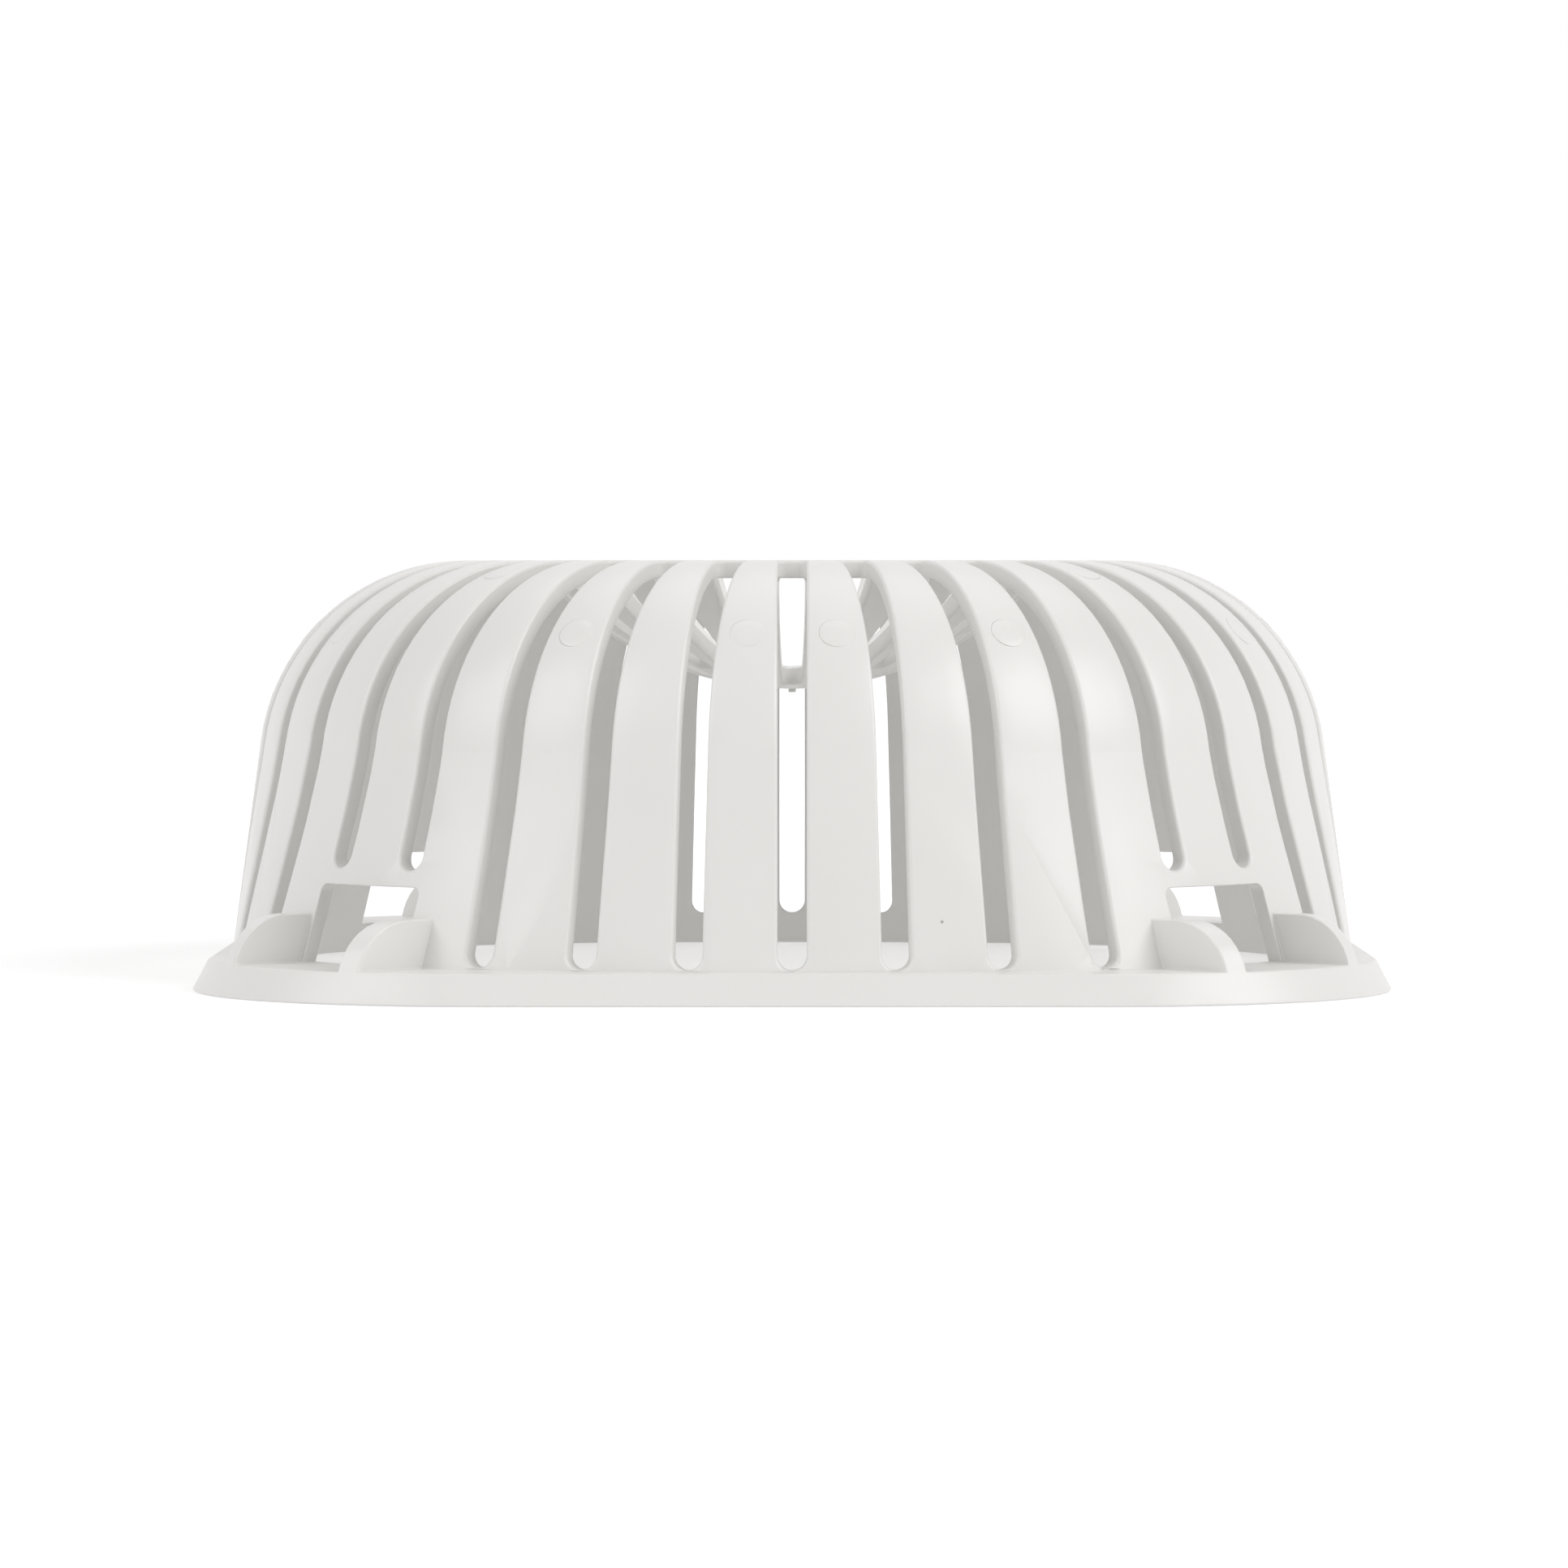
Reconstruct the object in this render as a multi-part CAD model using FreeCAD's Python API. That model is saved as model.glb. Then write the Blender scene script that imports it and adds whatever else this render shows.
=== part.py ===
import FreeCAD, Part
import math
import os

# Domed bottom strainer of a floor sink, moulded in one piece.
# A slotted dome stands on a square flange with round corners. Its top is dished.
# Millimetres, +Z up, origin at the middle of the underside, flange sides along X and Y.

# Flange
FLANGE_HALF = 70.0          # half the width across the flat sides, at the underside
FLANGE_CORNER = 35.0        # corner radius at the underside
FLANGE_HEIGHT = 3.6
FLANGE_LEAN = 1.9           # how far the outer face leans in up to its top edge

# Dome
OVERALL_HEIGHT = 50.0
WALL = 2.1                  # thickness of the wall, shoulder and dish
SHELF = 0.45                # from the flange's top edge to the wall, in the middle of a side
WALL_TAPER = 0.125          # lean of the wall, across for each millimetre up
CORNER_BULGE = 5.5          # how far the wall stands out towards the corners, at the underside
BULGE_POWER = 1.3           # how fast the corners fade out on the way up
SHOULDER_RADIUS = 25.0      # the dome is round from the foot of the shoulder up

# Dish in the top
DISH_DEPTH = 13.5
CREST_WIDTH = 10.5          # flat ring between the shoulder and the dish
GATE_RADIUS = 0.45          # stub of the moulding gate under the middle of the dish
GATE_HEIGHT = 0.4

# Slots in the wall
SLOT_COUNT = 36
SLOT_WIDTH = 3.3
SLOT_OVERRUN = 0.3          # how far the upper slot ends reach into the crest
SLOT_CORNER = 1.0           # rounding of the corners at the upper slot ends
SLOT_LIFT = 0.3             # height of the slot feet above the flange
BRIDGE = 1.9                # band of wall left between a window and the short slots over it

# Slots in the dish
DISH_SLOT_COUNT = 24
DISH_SLOT_INNER = 2.4       # width at the inner end
DISH_SLOT_OUTER = 3.4       # width at the outer end
DISH_SLOT_OVERRUN = 1.5     # how far the outer slot ends reach into the crest
LONG_SLOT_START = 7.0       # distance of the inner slot ends from the axis
SHORT_SLOT_START = 14.0

# Drain windows at the four corners, each between two lugs
WINDOW_WIDTH = 16.8
WINDOW_HEIGHT = 9.0
WINDOW_CORNER = 1.0
LUG_GAP = 0.5               # from the window's side to the lug
LUG_THICKNESS = 2.5
LUG_HEIGHT = 5.6            # above the flange
LUG_ROUND = 7.5             # radius of the lug's outer edge

# Construction
JOINT_ANGLE = 8.0           # turn at which a wall section goes from its flat to its corner
SECTION_COUNT = 5           # steps of the wall loft
MARGIN = 5.0                # how far the cutting bodies reach past what they cut

CORNERS = (45.0, 135.0, 225.0, 315.0)
FLANGE_CENTRE = FLANGE_HALF - FLANGE_CORNER
WALL_HALF = FLANGE_HALF - FLANGE_LEAN - SHELF + WALL_TAPER * FLANGE_HEIGHT
LEAN = math.atan(WALL_TAPER)
WALL_INSET = WALL / math.cos(LEAN)
SHOULDER_Z = OVERALL_HEIGHT - SHOULDER_RADIUS
ROUND_HEIGHT = SHOULDER_Z + SHOULDER_RADIUS * math.sin(LEAN)
CREST_RADIUS = WALL_HALF - WALL_TAPER * SHOULDER_Z - SHOULDER_RADIUS / math.cos(LEAN)
RIM_RADIUS = CREST_RADIUS - CREST_WIDTH
DISH_RADIUS = (RIM_RADIUS ** 2 + DISH_DEPTH ** 2) / (2.0 * DISH_DEPTH)
DISH_Z = OVERALL_HEIGHT - DISH_DEPTH + DISH_RADIUS
SLOT_START = CREST_RADIUS - SLOT_OVERRUN
DISH_SLOT_END = RIM_RADIUS + DISH_SLOT_OVERRUN
FLANGE_TOP_CORNER = FLANGE_CORNER - FLANGE_LEAN
WINDOW_TOP = FLANGE_HEIGHT + WINDOW_HEIGHT
REACH = 2.0 * FLANGE_HALF


def vec(x, y, z):
    return FreeCAD.Vector(x, y, z)


def turned(shape, degrees):
    """A copy of shape turned about the axis of the dome."""
    copy = shape.copy()
    copy.rotate(vec(0, 0, 0), vec(0, 0, 1), degrees)
    return copy


def wall_half(z):
    """Half the width of the outer wall across the flats, at height z."""
    return WALL_HALF - WALL_TAPER * z


def bulge(z):
    """How far the outer wall stands out past its half width on the diagonals, at height z."""
    share = max(0.0, (ROUND_HEIGHT - z) / ROUND_HEIGHT)
    return CORNER_BULGE * share ** BULGE_POWER


def wall_section(z, inset):
    """A closed wire of eight tangent arcs: four nearly flat sides and four corners."""
    half = wall_half(z) - inset
    turn = math.radians(JOINT_ANGLE)
    spread = 1.0 / math.tan(turn) - 1.0
    pull = 1.0 / math.sin(turn)
    shift = bulge(z) / (math.sqrt(2.0) + spread - pull)
    side_radius = half + shift * spread
    corner_radius = side_radius - shift * pull

    def side_point(angle):
        return vec(half - side_radius + side_radius * math.cos(angle), side_radius * math.sin(angle), z)

    def corner_point(angle):
        return vec(shift + corner_radius * math.cos(angle), shift + corner_radius * math.sin(angle), z)

    right = math.radians(90.0)
    side = Part.Arc(side_point(-turn), side_point(0.0), side_point(turn)).toShape()
    corner = Part.Arc(corner_point(turn), corner_point(right / 2), corner_point(right - turn)).toShape()
    edges = []
    for quarter in range(4):
        edges.append(turned(side, 90.0 * quarter))
        edges.append(turned(corner, 90.0 * quarter))
    return Part.Wire(edges)


def wall_body(bottom, inset):
    """The solid inside the wall's outer face, or inside its inner face, up to ROUND_HEIGHT."""
    step = (ROUND_HEIGHT - bottom) / SECTION_COUNT
    heights = [bottom + step * i for i in range(SECTION_COUNT)] + [ROUND_HEIGHT]
    return Part.makeLoft([wall_section(z, inset) for z in heights], True, False)


def upper_body(drop):
    """The turned solid over ROUND_HEIGHT, its skin set in by drop: shoulder, crest and dish."""
    top = OVERALL_HEIGHT - drop
    radius = SHOULDER_RADIUS - drop
    bowl = DISH_RADIUS + drop
    rim_r = math.sqrt(bowl ** 2 - (DISH_Z - top) ** 2)
    half_dish = math.asin(rim_r / bowl) / 2.0

    def shoulder(angle):
        return vec(CREST_RADIUS + radius * math.cos(angle), 0, SHOULDER_Z + radius * math.sin(angle))

    def dish(angle):
        return vec(bowl * math.sin(angle), 0, DISH_Z - bowl * math.cos(angle))

    base = vec(0, 0, ROUND_HEIGHT)
    foot = vec(wall_half(ROUND_HEIGHT) - drop / math.cos(LEAN), 0, ROUND_HEIGHT)
    crest = shoulder(math.radians(90.0))
    rim = vec(rim_r, 0, top)
    low = dish(0.0)
    edges = [
        Part.makeLine(base, foot),
        Part.Arc(foot, shoulder(math.radians(45.0)), crest).toShape(),
        Part.makeLine(crest, rim),
        Part.Arc(rim, dish(half_dish), low).toShape(),
        Part.makeLine(low, base),
    ]
    face = Part.Face(Part.Wire(edges))
    return face.revolve(vec(0, 0, 0), vec(0, 0, 1), 360)


def gate_stub():
    """The short stub under the middle of the dish, reaching up into the skin."""
    low = DISH_Z - DISH_RADIUS - WALL - GATE_HEIGHT
    return Part.makeCylinder(GATE_RADIUS, GATE_HEIGHT + WALL / 2.0, vec(0, 0, low))


def rounded_square(half, corner, z):
    """A closed wire: a square with round corners."""
    centre = half - corner
    mid = corner / math.sqrt(2.0)
    side = Part.makeLine(vec(half, -centre, z), vec(half, centre, z))
    bend = Part.Arc(vec(half, centre, z), vec(centre + mid, centre + mid, z), vec(centre, half, z)).toShape()
    edges = []
    for quarter in range(4):
        edges.append(turned(side, 90.0 * quarter))
        edges.append(turned(bend, 90.0 * quarter))
    return Part.Wire(edges)


def flange_body():
    low = rounded_square(FLANGE_HALF, FLANGE_CORNER, 0.0)
    high = rounded_square(FLANGE_HALF - FLANGE_LEAN, FLANGE_TOP_CORNER, FLANGE_HEIGHT)
    return Part.makeLoft([low, high], True, True)


def lug_pair():
    """The two lugs of the corner on the +X side, before they are turned to a corner."""
    axis = FLANGE_CENTRE * math.sqrt(2.0)
    root = FLANGE_HEIGHT / 2.0
    top = FLANGE_HEIGHT + LUG_HEIGHT
    arc_z = top - LUG_ROUND
    flat_end = FLANGE_TOP_CORNER - math.sqrt(LUG_ROUND ** 2 - (FLANGE_HEIGHT - arc_z) ** 2)
    half_turn = (math.asin((FLANGE_HEIGHT - arc_z) / LUG_ROUND) + math.radians(90.0)) / 2.0
    rim = vec(FLANGE_TOP_CORNER, 0, FLANGE_HEIGHT)
    crown = vec(flat_end, 0, top)
    middle = vec(flat_end + LUG_ROUND * math.cos(half_turn), 0, arc_z + LUG_ROUND * math.sin(half_turn))
    edges = [
        Part.makeLine(vec(0, 0, root), vec(FLANGE_TOP_CORNER, 0, root)),
        Part.makeLine(vec(FLANGE_TOP_CORNER, 0, root), rim),
        Part.Arc(rim, middle, crown).toShape(),
        Part.makeLine(crown, vec(0, 0, top)),
        Part.makeLine(vec(0, 0, top), vec(0, 0, root)),
    ]
    button = Part.Face(Part.Wire(edges)).revolve(vec(0, 0, 0), vec(0, 0, 1), 360)
    button.translate(vec(axis, 0, 0))
    inner = WINDOW_WIDTH / 2.0 + LUG_GAP
    start = WALL_HALF - WALL
    size = (REACH, LUG_THICKNESS, OVERALL_HEIGHT)
    lugs = []
    for y in (inner, -inner - LUG_THICKNESS):
        lugs.append(button.common(Part.makeBox(*size, vec(start, y, 0))))
    return lugs


def window_cutter():
    """The bar that cuts the window of the corner on the +X side, with its upper corners rounded."""
    bar = Part.makeBox(REACH, WINDOW_WIDTH, WINDOW_HEIGHT, vec(WALL_HALF / 2, -WINDOW_WIDTH / 2, FLANGE_HEIGHT))
    upper = []
    for edge in bar.Edges:
        along_x = abs(edge.tangentAt(edge.FirstParameter).x) > 0.5
        if along_x and edge.CenterOfMass.z > FLANGE_HEIGHT + WINDOW_HEIGHT / 2:
            upper.append(edge)
    return bar.makeFillet(WINDOW_CORNER, upper)


def slot_cutter(foot):
    """An upright blade with a round lower end at height foot, on the +X side."""
    radius = SLOT_WIDTH / 2.0
    centre = foot + radius
    length = REACH - SLOT_START
    blade = Part.makeBox(length, SLOT_WIDTH, OVERALL_HEIGHT + MARGIN - centre, vec(SLOT_START, -radius, centre))
    inner = []
    for edge in blade.Edges:
        upright = abs(edge.tangentAt(edge.FirstParameter).z) > 0.5
        if upright and edge.CenterOfMass.x < SLOT_START + length / 2.0:
            inner.append(edge)
    blade = blade.makeFillet(SLOT_CORNER, inner)
    start = SLOT_START + SLOT_CORNER
    end = Part.makeCylinder(radius, REACH - start, vec(start, 0, centre), vec(1, 0, 0))
    return blade.fuse(end)


def dish_slot_cutter(start):
    """An upright blade through the dish, wider towards the rim and round at both ends, on the +X side."""
    inner = DISH_SLOT_INNER / 2.0
    outer = DISH_SLOT_OUTER / 2.0
    low = OVERALL_HEIGHT - DISH_DEPTH - WALL - MARGIN
    first = start + inner
    last = DISH_SLOT_END - outer
    edges = [
        Part.makeLine(vec(first, -inner, low), vec(last, -outer, low)),
        Part.Arc(vec(last, -outer, low), vec(DISH_SLOT_END, 0, low), vec(last, outer, low)).toShape(),
        Part.makeLine(vec(last, outer, low), vec(first, inner, low)),
        Part.Arc(vec(first, inner, low), vec(start, 0, low), vec(first, -inner, low)).toShape(),
    ]
    return Part.Face(Part.Wire(edges)).extrude(vec(0, 0, OVERALL_HEIGHT + MARGIN - low))


def over_window(angle):
    """True for a slot that would run into a window."""
    reach = math.degrees(math.asin((WINDOW_WIDTH + SLOT_WIDTH) / 2.0 / WALL_HALF))
    return any(abs(angle - corner) < reach for corner in CORNERS)


def wall_slots():
    full = slot_cutter(FLANGE_HEIGHT + SLOT_LIFT)
    short = slot_cutter(WINDOW_TOP + BRIDGE)
    cutters = []
    for i in range(SLOT_COUNT):
        angle = 360.0 * i / SLOT_COUNT
        cutters.append(turned(short if over_window(angle) else full, angle))
    return cutters


def dish_slots():
    blades = (dish_slot_cutter(LONG_SLOT_START), dish_slot_cutter(SHORT_SLOT_START))
    return [turned(blades[i % 2], 360.0 * i / DISH_SLOT_COUNT) for i in range(DISH_SLOT_COUNT)]


def strainer():
    outside = [upper_body(0.0), flange_body()]
    for corner in CORNERS:
        outside += [turned(lug, corner) for lug in lug_pair()]
    solid = wall_body(0.0, 0.0).multiFuse(outside)
    hollow = wall_body(-MARGIN, WALL_INSET).fuse(upper_body(WALL))
    shell = solid.cut(hollow).fuse(gate_stub())
    cutters = wall_slots() + dish_slots() + [turned(window_cutter(), corner) for corner in CORNERS]
    return shell.cut(cutters).removeSplitter()


os.makedirs("parts", exist_ok=True)
part = strainer()
print("solids", len(part.Solids), "valid", part.isValid(), "volume", round(part.Volume, 1))
part.Solids[0].exportStep("parts/dome_strainer.step")
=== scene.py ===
import bmesh
import bpy
import math
from mathutils import Euler, Matrix, Vector
from mathutils.bvhtree import BVHTree
from mathutils.interpolate import poly_3d_calc


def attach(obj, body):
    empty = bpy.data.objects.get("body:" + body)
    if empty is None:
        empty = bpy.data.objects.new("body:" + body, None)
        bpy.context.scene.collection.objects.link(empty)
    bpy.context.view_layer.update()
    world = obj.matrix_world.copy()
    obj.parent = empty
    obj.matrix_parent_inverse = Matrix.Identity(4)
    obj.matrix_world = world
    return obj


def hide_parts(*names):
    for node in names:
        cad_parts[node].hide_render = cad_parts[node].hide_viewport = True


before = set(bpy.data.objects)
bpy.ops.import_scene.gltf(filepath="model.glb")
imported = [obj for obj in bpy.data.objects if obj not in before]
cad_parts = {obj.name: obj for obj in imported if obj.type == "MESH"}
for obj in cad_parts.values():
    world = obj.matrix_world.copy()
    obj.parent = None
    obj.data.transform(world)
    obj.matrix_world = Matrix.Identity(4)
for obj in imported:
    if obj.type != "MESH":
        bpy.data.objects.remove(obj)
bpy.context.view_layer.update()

# Rounding of the moulded edges, in metres
SLOT_ROUND = 0.00045            # the slots' edges on the outer skin
SLOT_INNER_ROUND = 0.00025      # the same on the inside of the wall
DISH_ROUND = 0.00025            # the same on the upper side of the dish
DISH_INNER_ROUND = 0.0002       # the same under the dish
FOOT_ROUND = 0.0002             # flange, lugs and windows, where ledges are narrow
BOTTOM_ROUND = 0.0003           # the flange's lower edges
STUB_ROUND = 0.0001             # the gate stub under the dish
ROUND_SEGMENTS = 3

# Where a chain of edges lies: distance from the axis or height, in metres
STUB_REACH = 0.002              # edges that come nearer to the axis are the gate stub's
DISH_REACH = 0.03               # edges that come nearer to the axis are the dish's
BOTTOM_TOP = 0.001              # edges wholly below this are the flange's lower ones
FOOT_TOP = 0.02                 # edges wholly below this are the flange's, lugs' and windows'
SKIN_TOP = 0.049                # edges that reach above this are on the outer skin
SLOT_FLOOR = 0.00382            # the rounding at the foot of a slot stays above the flange

# How the part's mesh is read
MERGE_DISTANCE = 2e-6
SHARP_ANGLE = math.radians(38)  # edges with a steeper fold than this are eased
FLAT_ANGLE = math.radians(2)    # facets that fold less than this are joined before the edges are eased
FOLDED = -0.3                   # a facet that faces the skin's other way by more than this is folded over
ON_SURFACE = 4e-6               # a corner nearer than this lies on one of the part's own surfaces
CORNER_STEP = 4e-6              # a corner is looked up this far inside its facet

# Ejector-pin marks: turn from the middle of a side in degrees, distance from the axis, height
DIAGONAL = 45.0
PIN_PLACES = ((5.0, 0.0584, 0.0418), (25.0, 0.0584, 0.0418), (DIAGONAL, 0.0481, 0.0487))
PIN_RADIUS = 0.0021
PIN_RIM = 0.00015
PIN_HEIGHT = 0.00003
PIN_SEGMENTS = 40

# Camera: level with the dome's top, square to one flat side
PHOTO_WIDTH = 1932.0
FOCAL_PIXELS = 8500.0
CAMERA_DISTANCE = 0.840
CAMERA_HEIGHT = 0.0486
AXIS_COLUMN = 976.0
HORIZON_ROW = 705.0
SENSOR = 36.0
CLIP_START = 0.01

# Colours, linear, and finish of the plastic
OFF_WHITE = (0.81, 0.80, 0.785, 1.0)
WARMER_WHITE = (0.79, 0.778, 0.755, 1.0)
SPECK_BROWN = (0.16, 0.12, 0.09, 1.0)
FLOOR_WHITE = (0.8, 0.8, 0.8, 1.0)
PURE_WHITE = (1.0, 1.0, 1.0, 1.0)
SPECK_EDGE = (0.010, 0.019)     # a speck fades out between these distances from its middle, in cells
SPECK_STRENGTH = 0.6
SATIN = (0.31, 0.37)            # roughness
GRAIN_IN_MARK = 0.35            # strength of the grain in a pin mark
GRAIN_OUTSIDE = 0.08
GRAIN_DEPTH = 0.0001
PLASTIC_IOR = 1.5

# Floor and light
FLOOR_SIZE = 16.0
FLOOR_DROP = 0.00005
SKY = 0.41                      # even light from all round
TABLE_GLOW = 0.25               # light that comes up from the floor, as from a light table
TABLE_WHITE = 0.38              # the same where the camera or a gloss sees it, near the part
FAR_WHITE = 0.78                # the same far from the part, where the lamps no longer reach
NEAR = 0.1                      # the floor's white grows between these distances from the axis
FAR = 0.6
LAMP_AIM = (0.0, 0.0, 0.025)    # the middle of the strainer
LAMPS = (                       # name, place, diameter, power
    ("key", (0.82, -0.45, 0.7), 0.8, 5.7),
    ("fill", (-0.82, -0.45, 0.65), 0.8, 3.7),
    ("top", (0.05, 0.4, 1.0), 0.9, 1.4),
)


def node(tree, kind, x, y, **inputs):
    """Adds a shader node and sets its input sockets by name."""
    made = tree.nodes.new(kind)
    made.location = (x, y)
    for name, value in inputs.items():
        made.inputs[name.replace("_", " ")].default_value = value
    return made


def math_node(tree, operation, x, y, *sources):
    """Adds a Math node fed by the given sockets and returns its output."""
    made = node(tree, "ShaderNodeMath", x, y)
    made.operation = operation
    for i, source in enumerate(sources):
        tree.links.new(source, made.inputs[i])
    return made.outputs[0]


def map_range(tree, source, x, y, **limits):
    """Adds a Map Range node fed by the given socket; its limits are set by name."""
    made = node(tree, "ShaderNodeMapRange", x, y, **limits)
    tree.links.new(source, made.inputs["Value"])
    return made


def pin_marks(tree, place):
    """The patches of the ejector-pin marks, the same on every side: the strength of the grain, more in a mark."""
    split = node(tree, "ShaderNodeSeparateXYZ", -2400, -900)
    tree.links.new(place.outputs["Object"], split.inputs[0])
    across = math_node(tree, "ABSOLUTE", -2200, -850, split.outputs["X"])
    along = math_node(tree, "ABSOLUTE", -2200, -1000, split.outputs["Y"])
    folded = node(tree, "ShaderNodeCombineXYZ", -1800, -900)
    tree.links.new(math_node(tree, "MAXIMUM", -2000, -850, across, along), folded.inputs["X"])
    tree.links.new(math_node(tree, "MINIMUM", -2000, -1000, across, along), folded.inputs["Y"])
    tree.links.new(split.outputs["Z"], folded.inputs["Z"])
    nearest = None
    for i, (degrees, radius, height) in enumerate(PIN_PLACES):
        gap = node(tree, "ShaderNodeVectorMath", -1600, -900 - 150 * i)
        gap.operation = "DISTANCE"
        turn = math.radians(degrees)
        gap.inputs[1].default_value = (radius * math.cos(turn), radius * math.sin(turn), height)
        tree.links.new(folded.outputs[0], gap.inputs[0])
        gap = gap.outputs["Value"]
        nearest = gap if nearest is None else math_node(tree, "MINIMUM", -1400, -900 - 150 * i, nearest, gap)
    disc = map_range(
        tree, nearest, -1200, -900, From_Min=PIN_RADIUS - PIN_RIM, From_Max=PIN_RADIUS,
        To_Min=GRAIN_IN_MARK, To_Max=GRAIN_OUTSIDE)
    return disc.outputs["Result"]


def moulded_plastic():
    """Off-white plastic with a satin gloss: faint clouding, fine grain and a few dark specks."""
    material = bpy.data.materials.new("moulded_plastic")
    material.use_nodes = True
    tree = material.node_tree
    shader = tree.nodes["Principled BSDF"]
    place = node(tree, "ShaderNodeTexCoord", -1400, 0)

    clouds = node(tree, "ShaderNodeTexNoise", -1100, 300, Scale=45.0, Detail=4.0, Roughness=0.55)
    tint = node(tree, "ShaderNodeMix", -500, 300)
    tint.data_type = "RGBA"
    tint.inputs["A"].default_value = OFF_WHITE
    tint.inputs["B"].default_value = WARMER_WHITE
    tree.links.new(place.outputs["Object"], clouds.inputs["Vector"])
    tree.links.new(clouds.outputs["Fac"], tint.inputs["Factor"])

    cells = node(tree, "ShaderNodeTexVoronoi", -1100, 0, Scale=85.0, Randomness=1.0)
    speck = map_range(
        tree, cells.outputs["Distance"], -800, 0, From_Min=SPECK_EDGE[0], From_Max=SPECK_EDGE[1],
        To_Min=SPECK_STRENGTH, To_Max=0.0)
    dirty = node(tree, "ShaderNodeMix", -250, 200)
    dirty.data_type = "RGBA"
    dirty.inputs["B"].default_value = SPECK_BROWN
    tree.links.new(place.outputs["Object"], cells.inputs["Vector"])
    tree.links.new(speck.outputs["Result"], dirty.inputs["Factor"])
    tree.links.new(tint.outputs["Result"], dirty.inputs["A"])
    tree.links.new(dirty.outputs["Result"], shader.inputs["Base Color"])

    sheen = node(tree, "ShaderNodeTexNoise", -1100, -300, Scale=160.0, Detail=3.0)
    rough = map_range(tree, sheen.outputs["Fac"], -800, -300, To_Min=SATIN[0], To_Max=SATIN[1])
    tree.links.new(place.outputs["Object"], sheen.inputs["Vector"])
    tree.links.new(rough.outputs["Result"], shader.inputs["Roughness"])

    grain = node(tree, "ShaderNodeTexNoise", -1100, -600, Scale=1500.0, Detail=3.0)
    bump = node(tree, "ShaderNodeBump", -500, -600, Distance=GRAIN_DEPTH)
    tree.links.new(place.outputs["Object"], grain.inputs["Vector"])
    tree.links.new(grain.outputs["Fac"], bump.inputs["Height"])
    tree.links.new(pin_marks(tree, place), bump.inputs["Strength"])
    tree.links.new(bump.outputs["Normal"], shader.inputs["Normal"])
    shader.inputs["IOR"].default_value = PLASTIC_IOR
    return material


def sharp_chains(shape):
    """The sharp edges, gathered in chains that hang together."""
    left = {edge for edge in shape.edges if len(edge.link_faces) == 2 and edge.calc_face_angle() > SHARP_ANGLE}
    chains = []
    for edge in shape.edges:
        if edge not in left:
            continue
        left.discard(edge)
        chain = [edge]
        for member in chain:
            for vert in member.verts:
                for other in vert.link_edges:
                    if other in left:
                        left.discard(other)
                        chain.append(other)
        chains.append(chain)
    return chains


def rounding(chain):
    """How much a chain of edges is rounded over, by where it lies."""
    places = [vert.co for edge in chain for vert in edge.verts]
    top = max(place.z for place in places)
    reach = min(math.hypot(place.x, place.y) for place in places)
    if reach < STUB_REACH:
        return STUB_ROUND if chain[0].is_convex else 0.0
    if top < BOTTOM_TOP:
        return BOTTOM_ROUND
    if top < FOOT_TOP:
        return FOOT_ROUND
    on_the_skin = top > SKIN_TOP
    if reach < DISH_REACH:
        return DISH_ROUND if on_the_skin else DISH_INNER_ROUND
    return SLOT_ROUND if on_the_skin else SLOT_INNER_ROUND


def ease_edges(shape):
    """Rounds the sharp moulded edges over, every chain by one amount."""
    groups = {}
    for chain in sharp_chains(shape):
        groups.setdefault(rounding(chain), []).extend(chain)
    for amount in sorted(groups):
        if amount > 0.0:
            made = bmesh.ops.bevel(
                shape, geom=groups[amount], offset=amount, offset_type="OFFSET", segments=ROUND_SEGMENTS,
                profile=0.5, affect="EDGES", clamp_overlap=False, material=-1)
            if amount == SLOT_ROUND:
                for vert in made["verts"]:
                    vert.co.z = max(vert.co.z, SLOT_FLOOR)


def drop_paired_facets(shape):
    """Takes out facets that lie back to back on the same three corners."""
    alike = {}
    for face in shape.faces:
        alike.setdefault(frozenset(face.verts), []).append(face)
    paired = [face for faces in alike.values() if len(faces) > 1 for face in faces]
    bmesh.ops.delete(shape, geom=paired, context="FACES")


def turn_folded_facets(shape, skin):
    """Turns the few small facets that the rounding has folded over, so that all look the same way as the skin."""
    bmesh.ops.triangulate(shape, faces=shape.faces)
    drop_paired_facets(shape)
    shape.normal_update()
    for face in shape.faces:
        _, out, _, _ = skin.find_nearest(face.calc_center_median())
        if face.normal.dot(out) < FOLDED:
            face.normal_flip()


def pin_centres():
    """The middles of all the ejector-pin marks, near the skin."""
    for degrees, radius, height in PIN_PLACES:
        for quarter in range(4):
            for side in (-1, 1):
                if side == -1 and degrees == DIAGONAL:
                    continue
                turn = math.radians(90 * quarter + side * degrees)
                yield Vector((radius * math.cos(turn), radius * math.sin(turn), height))


def pin_mark():
    """One ejector-pin mark, flat: a low round pad with a sloping rim."""
    mark = bmesh.new()
    bmesh.ops.create_cone(
        mark, cap_ends=True, segments=PIN_SEGMENTS, radius1=PIN_RADIUS, radius2=PIN_RADIUS - PIN_RIM,
        depth=2 * PIN_HEIGHT)
    pad = [face for face in mark.faces if face.normal.z > 0.9 and len(face.verts) == PIN_SEGMENTS]
    bmesh.ops.inset_individual(mark, faces=pad, thickness=PIN_RADIUS / 2)
    bmesh.ops.poke(mark, faces=pad)
    mesh = bpy.data.meshes.new("pin_mark")
    mark.to_mesh(mesh)
    mark.free()
    return mesh


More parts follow.
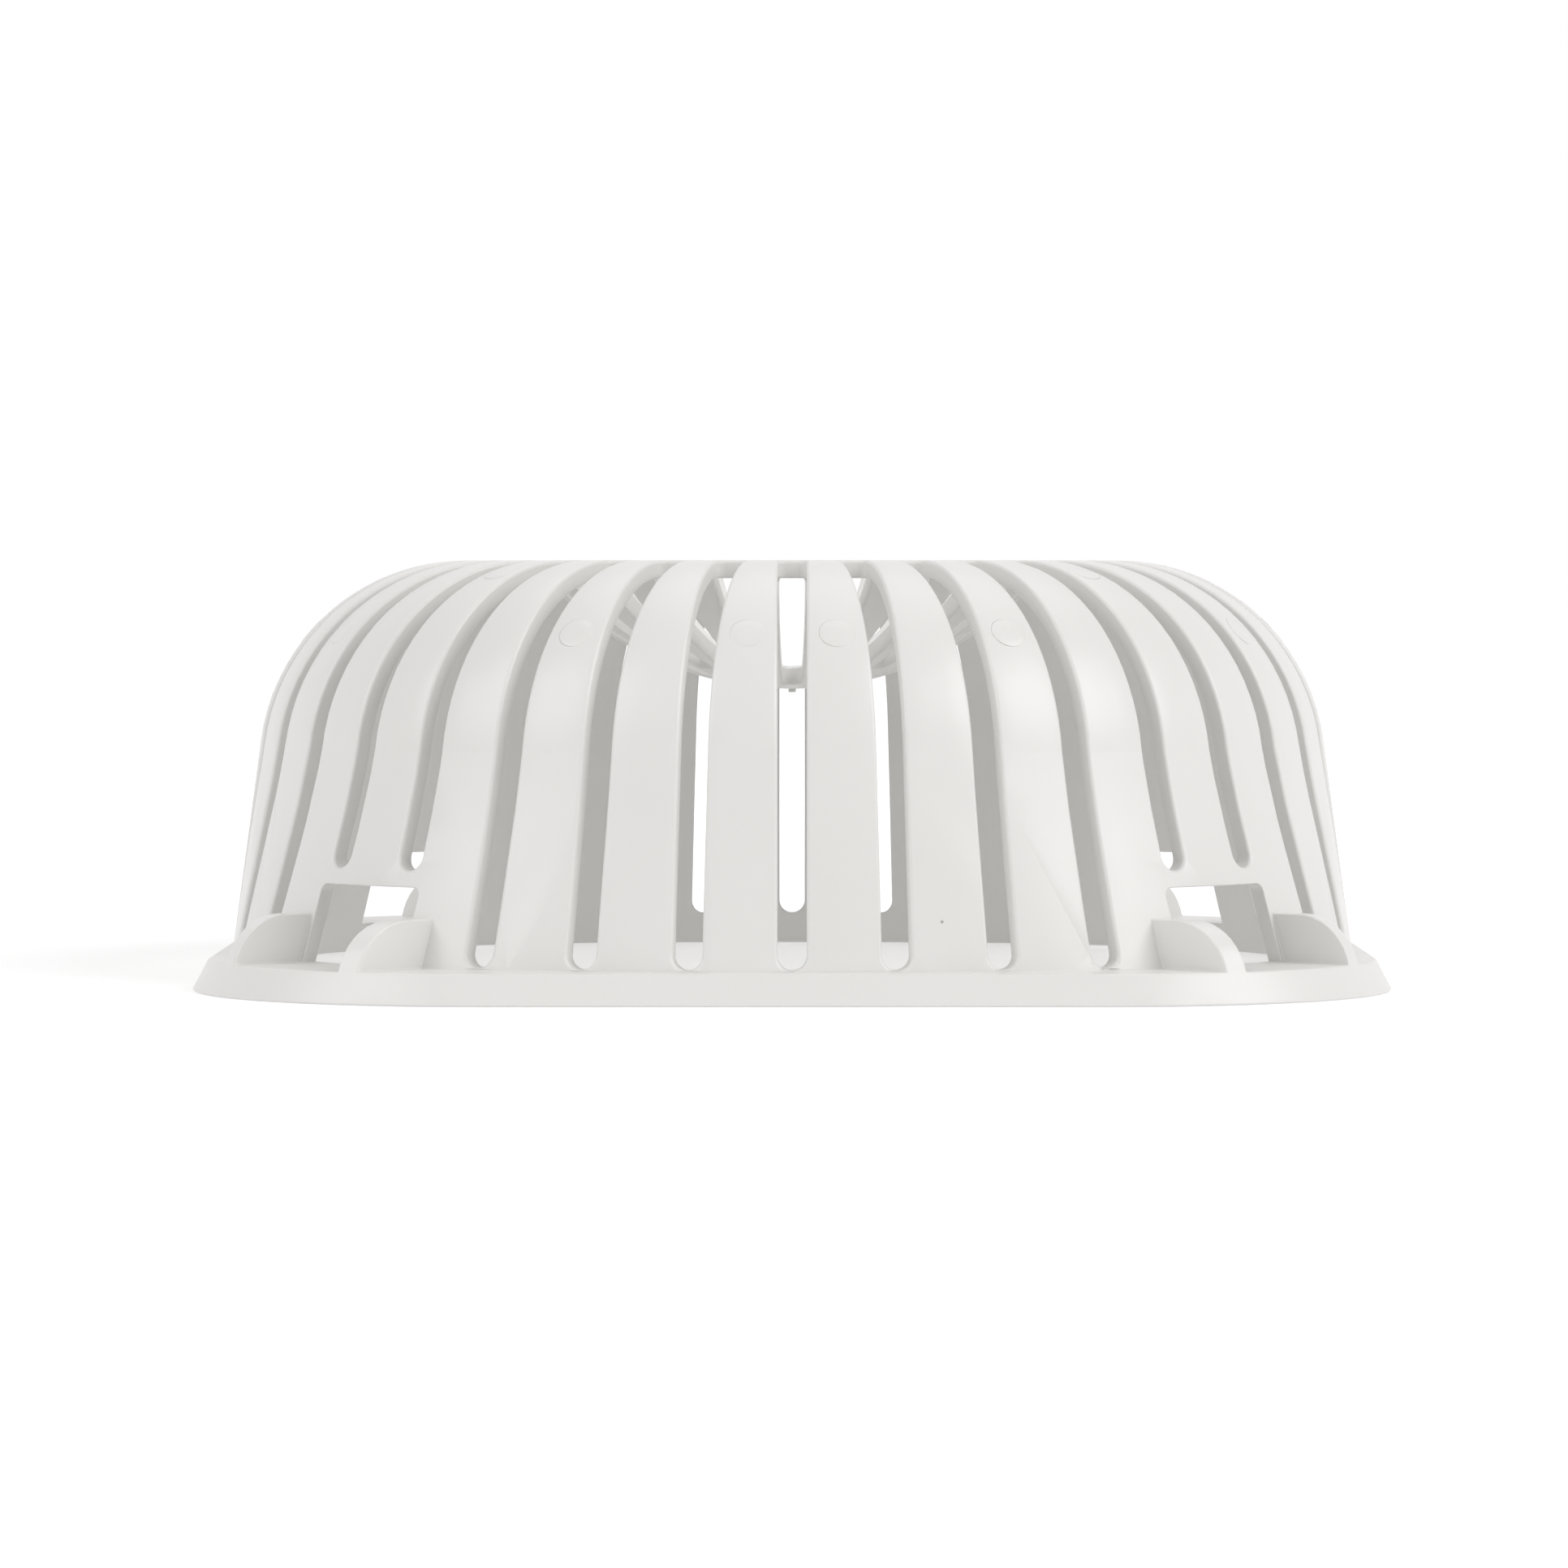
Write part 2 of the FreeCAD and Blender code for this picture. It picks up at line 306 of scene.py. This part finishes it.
def add_pin_marks(shape, skin):
    """Lays a pin mark on the skin at each ejector pin, following the skin's curve."""
    flat = pin_mark()
    for centre in pin_centres():
        place, out, _, _ = skin.find_nearest(centre)
        turn = Matrix.Translation(place) @ out.to_track_quat("Z", "Y").to_matrix().to_4x4()
        mark = flat.copy()
        for vert in mark.vertices:
            height = vert.co.z
            hit, _, _, _ = skin.find_nearest(turn @ vert.co)
            vert.co = hit + out * height
        shape.from_mesh(mark)
        bpy.data.meshes.remove(mark)
    bpy.data.meshes.remove(flat)


def true_normal(cad, index, place):
    """The normal of the part's own surface at a place on one of its facets."""
    facet = cad.polygons[index]
    shares = poly_3d_calc([cad.vertices[i].co for i in facet.vertices], place)
    normal = Vector()
    for loop, share in zip(facet.loop_indices, shares):
        normal += cad.corner_normals[loop].vector * share
    return normal.normalized()


def shade_like_the_part(mesh, skin, cad):
    """Gives every corner that lies on one of the part's own surfaces that surface's true normal."""
    mesh.calc_loop_triangles()
    normals = [mesh.vertices[loop.vertex_index].normal.copy() for loop in mesh.loops]
    settled = set()
    for facet in mesh.loop_triangles:
        corners = [mesh.vertices[i].co for i in facet.vertices]
        middle = (corners[0] + corners[1] + corners[2]) / 3
        for loop, corner in zip(facet.loops, corners):
            if loop in settled:
                continue
            settled.add(loop)
            inside = corner + (middle - corner).normalized() * CORNER_STEP
            place, _, index, gap = skin.find_nearest(inside)
            if gap < ON_SURFACE:
                normals[loop] = true_normal(cad, index, place)
    mesh.normals_split_custom_set(normals)


def strainer_with_eased_edges(material):
    """The strainer's own shape with its sharp moulded edges rounded over and the pin marks on it."""
    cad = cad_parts["dome_strainer"].data
    shape = bmesh.new()
    shape.from_mesh(cad)
    skin = BVHTree.FromBMesh(shape)
    bmesh.ops.remove_doubles(shape, verts=shape.verts, dist=MERGE_DISTANCE)
    bmesh.ops.dissolve_limit(
        shape, angle_limit=FLAT_ANGLE, use_dissolve_boundaries=False,
        verts=shape.verts, edges=shape.edges, delimit=set())
    top = max(vert.co.z for vert in shape.verts)
    ease_edges(shape)
    turn_folded_facets(shape, skin)
    add_pin_marks(shape, skin)
    for vert in shape.verts:
        vert.co.z = min(vert.co.z, top)
    for face in shape.faces:
        face.smooth = True
    mesh = bpy.data.meshes.new("strainer")
    shape.to_mesh(mesh)
    shape.free()
    shade_like_the_part(mesh, skin, cad)
    piece = bpy.data.objects.new("strainer", mesh)
    bpy.context.scene.collection.objects.link(piece)
    piece.data.materials.append(material)
    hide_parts("dome_strainer")
    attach(piece, "root")


def level_for_the_eye(tree, x, y, **levels):
    """A level that goes from To Min to To Max where the camera, a gloss or a clear piece looks straight at it."""
    path = node(tree, "ShaderNodeLightPath", x, y)
    seen = math_node(tree, "MAXIMUM", x + 200, y, path.outputs["Is Camera Ray"], path.outputs["Is Glossy Ray"])
    also = math_node(tree, "MAXIMUM", x + 300, y - 100, seen, path.outputs["Is Transmission Ray"])
    return map_range(tree, also, x + 400, y, **levels)


def floor_paint():
    """Pale paint that takes the shadow, with a glow that makes it white to the camera far from the part."""
    material = bpy.data.materials.new("white_floor")
    material.use_nodes = True
    tree = material.node_tree
    tree.nodes.clear()
    paint = node(tree, "ShaderNodeBsdfDiffuse", -200, 0, Color=FLOOR_WHITE)
    glow = node(tree, "ShaderNodeEmission", -200, -200, Color=PURE_WHITE)
    place = node(tree, "ShaderNodeTexCoord", -1200, -500)
    far = node(tree, "ShaderNodeVectorMath", -1000, -500)
    far.operation = "LENGTH"
    tree.links.new(place.outputs["Object"], far.inputs[0])
    white = map_range(
        tree, far.outputs["Value"], -800, -500, From_Min=NEAR, From_Max=FAR, To_Min=TABLE_WHITE, To_Max=FAR_WHITE)
    strength = level_for_the_eye(tree, -800, -200, To_Min=TABLE_GLOW)
    tree.links.new(white.outputs["Result"], strength.inputs["To Max"])
    tree.links.new(strength.outputs["Result"], glow.inputs["Strength"])
    both = node(tree, "ShaderNodeAddShader", 0, 0)
    out = node(tree, "ShaderNodeOutputMaterial", 200, 0)
    tree.links.new(paint.outputs[0], both.inputs[0])
    tree.links.new(glow.outputs[0], both.inputs[1])
    tree.links.new(both.outputs[0], out.inputs["Surface"])
    return material


def white_floor():
    """A plain pale floor just under the strainer."""
    plane = bmesh.new()
    bmesh.ops.create_grid(plane, x_segments=1, y_segments=1, size=FLOOR_SIZE / 2)
    bmesh.ops.translate(plane, verts=plane.verts, vec=(0, 0, -FLOOR_DROP))
    mesh = bpy.data.meshes.new("floor")
    plane.to_mesh(mesh)
    plane.free()
    floor = bpy.data.objects.new("floor", mesh)
    floor.data.materials.append(floor_paint())
    bpy.context.scene.collection.objects.link(floor)


def white_surroundings():
    """Even light from all round, white where the camera sees it."""
    world = bpy.data.worlds.new("surroundings")
    bpy.context.scene.world = world
    world.use_nodes = True
    tree = world.node_tree
    back = tree.nodes["Background"]
    back.inputs["Color"].default_value = PURE_WHITE
    level = level_for_the_eye(tree, -800, 0, To_Min=SKY, To_Max=1.0)
    tree.links.new(level.outputs["Result"], back.inputs["Strength"])


def soft_lamp(name, place, size, power):
    """A round studio lamp aimed at the middle of the strainer."""
    data = bpy.data.lights.new(name, "AREA")
    data.shape = "DISK"
    data.size = size
    data.energy = power
    lamp = bpy.data.objects.new(name, data)
    lamp.location = place
    aim = Vector(LAMP_AIM) - Vector(place)
    lamp.rotation_euler = aim.to_track_quat("-Z", "Y").to_euler()
    bpy.context.scene.collection.objects.link(lamp)


def photo_camera():
    """The camera at the photograph's place, turned so that the strainer falls where it does there."""
    data = bpy.data.cameras.new("camera")
    data.sensor_width = SENSOR
    data.lens = SENSOR * FOCAL_PIXELS / PHOTO_WIDTH
    data.clip_start = CLIP_START
    camera = bpy.data.objects.new("camera", data)
    camera.location = (0.0, -CAMERA_DISTANCE, CAMERA_HEIGHT)
    middle = PHOTO_WIDTH / 2
    dip = math.atan((middle - HORIZON_ROW) / FOCAL_PIXELS)
    swing = math.atan((AXIS_COLUMN - middle) / FOCAL_PIXELS)
    camera.rotation_euler = Euler((math.radians(90) - dip, 0.0, swing), "XYZ")
    bpy.context.scene.collection.objects.link(camera)
    bpy.context.scene.camera = camera


strainer_with_eased_edges(moulded_plastic())
white_floor()
white_surroundings()
for lamp in LAMPS:
    soft_lamp(*lamp)
photo_camera()
bpy.context.scene.view_settings.view_transform = "Standard"
